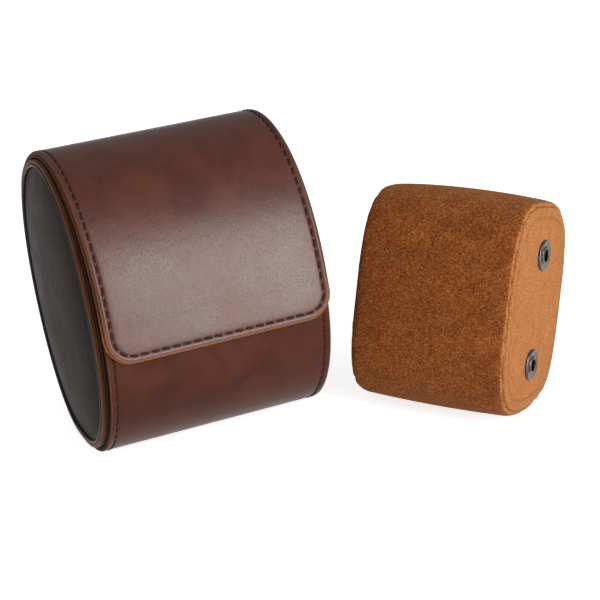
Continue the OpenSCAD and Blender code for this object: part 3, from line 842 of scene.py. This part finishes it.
def mesh_piece(name, points, faces, uv):
    """A piece of many small closed shapes, from their points and faces."""
    mesh = bpy.data.meshes.new(name)
    mesh.from_pydata(points.tolist(), [], faces)
    piece = bpy.data.objects.new(name, mesh)
    bpy.context.scene.collection.objects.link(piece)
    lay_out(piece, uv[:, 0], uv[:, 1])
    return piece


def fray(count):
    """Loose fibres of the torn hem: fine three-sided spikes on the flat leather, most of them at its left."""
    points, faces, run_of = [], [], []
    for k in range(count):
        side = random.choice((-1, -1, 1))
        run = min(abs(random.gauss(0.75, 0.35)) * HEM_HALF, HEM_HALF + SEAM_R * 1.2)
        x, s, way = flap_spot(run, side)
        out = way - side * math.pi / 2
        reach = HEM_INSET + LIP - 0.1 if run < HEM_HALF else SEAM_INSET + LIP + 0.1
        foot = np.array([x - reach * math.sin(out), s + reach * math.cos(out), -random.uniform(0.1, 0.6)])
        lie, long, half = out + random.gauss(0, 0.7), random.uniform(0.4, 1.2), random.uniform(0.06, 0.1)
        for turn in (0, 2.1, 4.2):
            points.append(foot + half * np.array([math.cos(turn), 0.4 * math.sin(turn), math.sin(turn)]))
        points.append(foot + long * np.array([-math.sin(lie), math.cos(lie), random.uniform(-0.2, 0.4)]))
        faces += [[4 * k + v for v in f] for f in ((0, 1, 2), (0, 3, 1), (1, 3, 2), (2, 3, 0))]
        run_of += [run] * 4
    points = np.array(points)
    piece = mesh_piece("fray", points, faces, points[:, :2])
    for key, values in (("cut", 0.3), ("run", run_of), ("off", 9)):
        note(piece, key, np.zeros(len(points)) + values)
    return piece


flap_lining = flap_layer("flap_inner_leather", 0.3, LIP, FLAP_LINING_T, 0.0, 0.0, 0.25)
fibres = fray(150)
face_outwards(fibres)
only(flap_lining)
fibres.select_set(True)
bpy.ops.object.join()
wrap(flap_lining, FLAP_WALK, CASE, FLAP_T + 0.02)
finish_shape(flap_lining)

# ---------------------------------------------------------------- the base
base_wrap = cut_strip("base_outer_leather", CASE_HALF, 0, BASE_RUN, WRAP_T)
p = points_of(base_wrap)
x, s = p[:, 0].copy(), p[:, 1].copy()
d = edge_distance(x, s, CASE_HALF, 0, BASE_RUN, 0)
side_off = abs(x) - (CASE_HALF - SEAM_INSET)
round_edges(base_wrap, d, side_off, WRAP_T, 0.6, 0.08, 0.18, 0.3)
note(base_wrap, "cut", d)
note(base_wrap, "run", s - SEAM_START)
note(base_wrap, "off", side_off)
lay_out(base_wrap, x + 200, s + np.where(p[:, 2] > -WRAP_T / 2, 0, 400))
wrap_pressed(base_wrap, BASE_WALK, CASE)
finish_shape(base_wrap)

LINING_ENDS = (0.3, BASE_RUN - 1.3)
base_lining = cut_strip(
    "base_suede_lining", WALL_X, *LINING_ENDS, LINING_T, rings=(0.15, 0.2, 0.5), across=8
)
p = points_of(base_lining)
d = edge_distance(p[:, 0], p[:, 1], WALL_X, *LINING_ENDS, 0)
lay_out(base_lining, p[:, 0], p[:, 1])
round_edges(base_lining, d, 0.0, LINING_T, 0.25, under_r=0.25)
wrap_pressed(base_lining, BASE_WALK, CASE, LINING_GROW)
finish_shape(base_lining)


# ---------------------------------------------------------------- stitching
def make_stitch():
    """One stitch along Y: a short thread whose ends dive into the leather."""
    radius, straight = THREAD_W / 2, STITCH_L * 0.5
    bpy.ops.mesh.primitive_cylinder_add(
        vertices=8, radius=radius, depth=straight, location=(0, 0, 0), rotation=(math.pi / 2, 0, 0)
    )
    piece = new_piece("stitch_master")
    edit(piece)
    for side in (-1, 1):
        pick(piece, "faces", lambda f: f.normal.y * side > 0.9)
        for far, drop, shrink in ((0.4, -0.06, 0.85), (0.28, -0.16, 0.6)):
            bpy.ops.mesh.extrude_region_move(TRANSFORM_OT_translate={"value": (0, side * far, drop)})
            bpy.ops.transform.resize(value=(shrink, 1, shrink))
    done()
    return piece


STITCH = make_stitch()


def sew(name, spots, height, slant):
    """Copies the stitch to each spot, a place across, a place round and a direction, in one flat mesh."""
    shape = points_of(STITCH)
    faces = [list(f.vertices) for f in STITCH.data.polygons]
    points, all_faces, uv = [], [], []
    for k, (x, s, way) in enumerate(spots):
        a = way + slant * random.uniform(0.7, 1.3)
        size = random.uniform(0.94, 1.04)
        c, n = math.cos(a), math.sin(a)
        px = x + size * (shape[:, 0] * c - shape[:, 1] * n)
        ps = s + size * (shape[:, 0] * n + shape[:, 1] * c)
        points.append(np.stack([px, ps, shape[:, 2] * 0.8 + height], -1))
        uv.append(np.stack([shape[:, 0] + 7 * k, shape[:, 1]], -1))
        all_faces += [[v + k * len(shape) for v in f] for f in faces]
    return mesh_piece(name, np.concatenate(points), all_faces, np.concatenate(uv))


def runs(last):
    return np.arange(STITCH_PITCH / 2, last, STITCH_PITCH)


flap_seam_run = HEM_HALF + SEAM_R * math.pi / 2 + FLAP_RUN - HEM_INSET - SEAM_R - SEAM_INSET
flap_spots = [flap_spot(r, side) for side in (-1, 1) for r in runs(flap_seam_run)]
flap_seam = sew("flap_seam", flap_spots, STITCH_SUNK, 0.14)
wrap(flap_seam, FLAP_WALK, CASE)

spots = []
for side in (-1, 1):
    for r in runs(BASE_RUN - SEAM_START - STITCH_PITCH):
        t = BASE_WALK.angle(SEAM_START + r)
        if CASE.lean_height(CASE.point(t, 0.0, False)) > -CASE.rest + 1.4:
            spots.append((side * (CASE_HALF - SEAM_INSET), SEAM_START + r, 0.0))
base_seam = sew("base_seam", spots, STITCH_SUNK, 0.10)
wrap_pressed(base_seam, BASE_WALK, CASE)

row_half = math.floor((CASE_HALF - 2 * SEAM_INSET) / STITCH_PITCH) * STITCH_PITCH
back_row = [(x, BASE_RUN - SEAM_INSET, math.pi / 2) for x in np.arange(-row_half, row_half + 1, STITCH_PITCH)]
back_seam = sew("back_seam", back_row, -0.05, 0.10)
wrap_pressed(back_seam, BASE_WALK, CASE)
bpy.data.objects.remove(STITCH)
for piece in (flap_seam, base_seam, back_seam):
    face_outwards(piece)
    finish_shape(piece, 70)


# ---------------------------------------------------------------- the ends
def end_pad(side_name, mirrored):
    """A padded end panel: a globe pressed into a low crown with a steep shoulder, sunk in the turned rim."""
    bpy.ops.mesh.primitive_uv_sphere_add(segments=160, ring_count=64, radius=1, rotation=(0, math.pi / 2, 0))
    piece = new_piece(f"end_pad_{side_name}")
    p = points_of(piece)
    polar = np.arccos(np.clip(p[:, 0], -1, 1)) / math.pi * 2
    t = np.arctan2(p[:, 2], p[:, 1])
    share = np.where(polar < 1, 1 - (1 - np.minimum(polar, 1)) ** 1.5, 1 - np.maximum(polar - 1, 0) ** 3)
    crown = DOME_EDGE_X + DOME_RISE * (1 - share**2.6) ** 0.75
    under = DOME_EDGE_X - (DOME_EDGE_X - FOAM_X) * smooth(polar, 1.0, 1.25)
    height = np.where(polar < 1, crown, under)
    move_points(piece, np.stack([height, share * np.cos(t), share * np.sin(t)], -1))
    note(piece, "edge", 1 - share)
    note(piece, "run", (abs(t) * (CASE.a + CASE.b) / 2))
    fit_disc(piece, END, RIM_GROW - 0.1, mirrored)
    face_outwards(piece)
    finish_shape(piece, 60)
    return piece


for side_name, mirrored in SIDES:
    band = ring_section(f"end_binding_{side_name}", WALL_X, END_X, -BAND_T, 0.0, 0.45)
    rim = ring_section(f"end_turned_rim_{side_name}", FOAM_X, END_X + RIM_PROUD, RIM_GROW, -BAND_T, 0.55, 6)
    for piece, material, slot, node in (
        (band, BINDING, "leather_edge", "end_band"),
        (rim, RIM, "rim_leather", "end_rim"),
    ):
        fit_loop(piece, END, mirrored)
        finish_shape(piece, 50)
        dress(piece, material, "case")
        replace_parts(piece, f"{node}_{side_name}")
    pad = end_pad(side_name, mirrored)
    dress(pad, PANEL, "case")
    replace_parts(pad, f"end_cover_{side_name}", f"end_foam_{side_name}")


# ---------------------------------------------------------------- the pillow
def swell(piece, oval, held):
    """Lets a sleeve swell over its filling, as cloth under pressure, held beyond this place at both ends."""
    apply(piece, "REMESH", mode="VOXEL", voxel_size=VOXEL * MM)
    start = points_of(piece)
    hold = piece.vertex_groups.new(name="hold")
    hold.add(np.flatnonzero(abs(oval.across(start)) > held).tolist(), 1.0, "REPLACE")
    move_points(piece, start * CLOTH_SCALE)
    cloth = piece.modifiers.new("Cloth", "CLOTH")
    cloth.settings.use_pressure = True
    cloth.settings.uniform_pressure_force = PRESSURE
    cloth.settings.effector_weights.gravity = 0
    cloth.settings.vertex_group_mass = "hold"
    for step in range(1, CLOTH_STEPS + 1):
        bpy.context.scene.frame_set(step)
    only(piece)
    bpy.ops.object.modifier_apply(modifier=cloth.name)
    bpy.context.scene.frame_set(1)
    moved = points_of(piece) / CLOTH_SCALE - start
    far = np.linalg.norm(moved, axis=1)
    moved *= np.minimum(1, SWELL_CAP * MM / np.maximum(far, 1e-9))[:, None]
    swollen = start + moved
    swollen[:, 2] = np.maximum(swollen[:, 2], start[:, 2].min())
    move_points(piece, swollen)
    piece.vertex_groups.clear()
    apply(piece, "SMOOTH", iterations=4)
    apply(piece, "SUBSURF", levels=1, render_levels=1)


def pillow_sleeve():
    """The suede sleeve: a drum with soft arrises and sunk ends, swelled, and pressed flat where it stands."""
    bpy.ops.mesh.primitive_cylinder_add(
        vertices=192, radius=LATHE_R, depth=2 * PILLOW_HALF, rotation=(0, math.pi / 2, 0)
    )
    piece = new_piece("pillow_sleeve")
    edit(piece)
    pick(piece, "faces", lambda f: abs(f.normal.x) > 0.9)
    bpy.ops.mesh.inset(thickness=PILLOW_ARRIS + 0.25, depth=0)
    for side in (-1, 1):
        pick(piece, "faces", lambda f: f.normal.x * side > 0.9 and len(f.verts) > 100)
        bpy.ops.mesh.extrude_region_move(TRANSFORM_OT_translate={"value": (-side * POCKET_DEEP, 0, 0)})
    pick(piece, "edges", lambda e: all(abs(abs(v.co.x) - PILLOW_HALF) < 1e-3 for v in e.verts)
         and all(math.hypot(v.co.y, v.co.z) > LATHE_R - 0.01 for v in e.verts))
    bpy.ops.mesh.bevel(offset=PILLOW_ARRIS, segments=8, affect="EDGES")
    slice_across(0, np.linspace(-PILLOW_HALF + 3, PILLOW_HALF - 3, 20))
    done()
    p = points_of(piece)
    share = np.clip(abs(p[:, 0]) / (PILLOW_HALF - PILLOW_ARRIS), 0, 1)
    r = np.hypot(p[:, 1], p[:, 2])
    swelled = r + np.where(r > LATHE_R - PILLOW_ARRIS - 0.1, PILLOW_CROWN * (1 - share**2), 0)
    p[:, 1] *= swelled / r
    p[:, 2] *= swelled / r
    move_points(piece, p)
    fit_loop(piece, PILLOW)
    swell(piece, PILLOW, PILLOW_HALF - 2.5)
    # painted highlight in part: the arrises next to the ends are marked for the paler nap
    note(piece, "pale", smooth(abs(PILLOW.across(points_of(piece))), PILLOW_HALF - 1.6, PILLOW_HALF - 0.5))
    finish_shape(piece, 50)
    return piece


def punch(panel, height):
    """Cuts the hole in which a socket sits."""
    bpy.ops.mesh.primitive_cylinder_add(vertices=40, radius=BORE_R, depth=5, rotation=(0, math.pi / 2, 0))
    cutter = put(new_piece("punch"), PILLOW, PILLOW_HALF, height)
    apply(panel, "BOOLEAN", operation="DIFFERENCE", object=cutter, solver="EXACT")
    bpy.data.objects.remove(cutter)


def pillow_end(side_name, mirrored):
    """A flat suede end panel with a soft edge, and at the right with a hole for each socket."""
    middle = (PILLOW_HALF - SUEDE_T / 2, 0, 0)
    bpy.ops.mesh.primitive_cylinder_add(
        vertices=160, radius=1, depth=SUEDE_T, location=middle, rotation=(0, math.pi / 2, 0)
    )
    piece = new_piece(f"pillow_end_panel_{side_name}")
    edit(piece)
    pick(piece, "faces", lambda f: f.normal.x > 0.9)
    for width in [0.006, 0.008, 0.012, 0.02, *[0.05] * 18]:
        bpy.ops.mesh.inset(thickness=width, depth=0)
    bpy.ops.mesh.merge(type="CENTER")
    done()
    p = points_of(piece)
    share = np.hypot(p[:, 1], p[:, 2])
    front = p[:, 0] > PILLOW_HALF - 0.1
    note(piece, "edge", 1 - share)
    rim = np.clip((1 - share) / 0.03, 0, 1)
    p[:, 0] += np.where(front, 0.28 * (1 - share**6) - 0.38 * (1 - np.sqrt(1 - (1 - rim) ** 2)), 0)
    move_points(piece, p)
    fit_disc(piece, PILLOW, -SUEDE_T - PILLOW_ARRIS / 2 + 0.12, mirrored)
    if not mirrored:
        for height in (STUD_PITCH / 2, -STUD_PITCH / 2):
            punch(piece, height)
    finish_shape(piece, 50)
    return piece


sleeve = pillow_sleeve()
dress(sleeve, SUEDE, "pillow")
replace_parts(sleeve, "pillow_cover", "pillow_core")
for side_name, mirrored in SIDES:
    panel = pillow_end(side_name, mirrored)
    # the ends' paler suede is partly painted light
    dress(panel, SUEDE_PALE_LIT, "pillow")
    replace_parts(panel, f"pillow_end_{side_name}")

# ---------------------------------------------------------------- studs and sockets
SOCKET = [
    (-0.1, 2.7), (0.0, 4.9), (0.12, 5.06), (0.35, 5.1), (0.6, 5.02), (0.82, 4.8), (0.92, 4.5), (0.86, 4.2),
    (0.74, 3.7), (0.7, 3.2), (0.76, 2.98), (1.0, 2.86), (1.15, 2.7), (1.2, 2.45), (1.17, 2.2), (1.05, 2.05),
    (0.8, 2.0), (0.3, 2.02), (0.25, 2.2), (-0.6, 2.2), (-0.6, 2.25), (-0.1, 2.7),
]
STUD = [
    (-3.0, 0.02), (-3.0, 1.2), (0.0, 1.2), (0.0, 4.3), (0.1, 4.45), (0.3, 4.5), (0.5, 4.4), (0.6, 4.1),
    (0.62, 2.2), (0.75, 1.8), (1.0, 1.62), (1.3, 1.6), (1.55, 1.75), (1.8, 1.92), (2.0, 1.95), (2.25, 1.86),
    (2.48, 1.55), (2.58, 1.0), (2.6, 0.02),
]
for place, height in (("upper", STUD_PITCH / 2), ("lower", -STUD_PITCH / 2)):
    socket = put(turned(f"socket_turned_{place}", SOCKET), PILLOW, PILLOW_HALF + 0.25, height)
    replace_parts(dress(finish_shape(socket, 35), METAL, "pillow"), f"socket_{place}")
    stud = put(turned(f"stud_turned_{place}", STUD), CASE, WALL_X, height, -1)
    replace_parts(dress(finish_shape(stud, 35), METAL, "case"), f"stud_{place}")

# ---------------------------------------------------------------- who moves with what
with_flap(dress(flap_leather, LEATHER, None))
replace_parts(flap_leather, "flap_leather", "hinge_tongue")
with_flap(dress(flap_lining, FLAP_UNDER, None))
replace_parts(flap_lining, "flap_lining")
with_flap(dress(flap_seam, THREAD, None))
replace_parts(flap_seam, "flap_stitching")
for piece, material, slot, node in (
    (base_wrap, BASE_LEATHER, "leather", "base_wrap"),
    (base_lining, INNER_SUEDE, "inner_suede", "base_lining"),
    (base_seam, THREAD, "thread", "wrap_stitching"),
    (back_seam, THREAD, "thread", "back_seam_stitching"),
):
    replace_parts(dress(piece, material, "case"), node)

KEPT = (
    # painted shade: the base board is coloured near black
    (SHADED_BOARD, "base_board"),
    (BOARD, "end_board_left", "end_board_right", "pillow_card_left", "pillow_card_right"),
    (INNER_SUEDE, "end_lining_left", "end_lining_right"),
    (METAL, "wall_magnets", "flap_magnets", "stud_caps", "socket_eyelets"),
)
for material, *nodes in KEPT:
    for node in nodes:
        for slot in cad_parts[node].material_slots:
            slot.material = material

# ---------------------------------------------------------------- floor, light and camera
FLOOR_GLOW, WORLD_LIGHT, WORLD_SEEN = 0.76, 0.3, 1.0
LAMP_TINT, LAMP_AIM = (1, 0.985, 0.96), Vector((0.0, 0.0, 0.05))
# Each lamp: the way it lies from the case, how far off, its width, its height and its power
LAMPS = {
    "front strip": ((0.363, -0.88, 0.30), 0.9, 0.29, 0.75, 7.7),
    "overhead softbox": ((-0.2, -0.75, 1), 1.0, 0.7, 0.5, 1.2),
    "left softbox": ((-1, -0.3, 0.35), 1.0, 0.35, 0.8, 1.2),
    "right softbox": ((1, -0.35, 0.6), 1.0, 0.6, 0.6, 0.6),
}
CAMERA_AT, CAMERA_LENS = Vector((-0.18005, -0.5201, 0.2762)), 108.0
CAMERA_AHEAD, CAMERA_RIGHT = Vector((0.3634, 0.841, -0.4007)), Vector((0.9055, -0.42, -0.0603))

bpy.ops.mesh.primitive_plane_add(size=6, location=(0, 0, -0.0002))
floor = new_piece("floor")
pale = Finish("pale floor", roughness=0.9, specular_ior_level=0.1)
seen = pale.node("LightPath", out="Is Camera Ray")
glossy = pale.node("LightPath", out="Is Glossy Ray")
through = pale.node("LightPath", out="Is Transmission Ray")
pale.surface.inputs["Base Color"].default_value = (0.86, 0.86, 0.86, 1)
direct = seen.math("MAXIMUM", seen, glossy.math("MAXIMUM", glossy, through))
glow = pale.node("Emission", None, Color=(1, 1, 1, 1), Strength=FLOOR_GLOW)
both = pale.node("AddShader", None, Wire(pale, pale.surface.outputs[0]), glow)
shown = pale.node("MixShader", None, direct, Wire(pale, pale.surface.outputs[0]), both)
pale.tree.links.new(shown.socket, pale.tree.nodes["Material Output"].inputs["Surface"])
floor.data.materials.append(pale.material)

world = bpy.context.scene.world or bpy.data.worlds.new("studio")
bpy.context.scene.world = world
world.use_nodes = True
sky = world.node_tree
path = sky.nodes.new("ShaderNodeLightPath")
either = sky.nodes.new("ShaderNodeMixShader")
sky.links.new(path.outputs["Is Camera Ray"], either.inputs[0])
for place, strength in ((1, WORLD_LIGHT), (2, WORLD_SEEN)):
    shade = sky.nodes.new("ShaderNodeBackground")
    shade.inputs["Color"].default_value = (1, 1, 1, 1)
    shade.inputs["Strength"].default_value = strength
    sky.links.new(shade.outputs[0], either.inputs[place])
sky.links.new(either.outputs[0], sky.nodes["World Output"].inputs["Surface"])

for name, (way, far, width, height, power) in LAMPS.items():
    lamp = bpy.data.lights.new(name, "AREA")
    lamp.shape, lamp.size, lamp.size_y, lamp.energy = "RECTANGLE", width, height, power
    lamp.color = LAMP_TINT
    thing = bpy.data.objects.new(name, lamp)
    bpy.context.scene.collection.objects.link(thing)
    way = Vector(way).normalized()
    thing.location = LAMP_AIM + way * far
    thing.rotation_mode = "QUATERNION"
    thing.rotation_quaternion = way.to_track_quat("Z", "Y")

camera_data = bpy.data.cameras.new("camera")
camera = bpy.data.objects.new("camera", camera_data)
bpy.context.scene.collection.objects.link(camera)
bpy.context.scene.camera = camera
camera_data.lens, camera_data.sensor_width = CAMERA_LENS, 36.0
camera_data.clip_start, camera_data.clip_end = 0.01, 20
ahead = CAMERA_AHEAD.normalized()
right = (CAMERA_RIGHT - ahead * CAMERA_RIGHT.dot(ahead)).normalized()
upward = right.cross(ahead)
turned_to = Matrix((right, upward, -ahead)).transposed().to_4x4()
camera.matrix_world = Matrix.Translation(CAMERA_AT) @ turned_to

scene = bpy.context.scene
scene.view_settings.view_transform = "Standard"
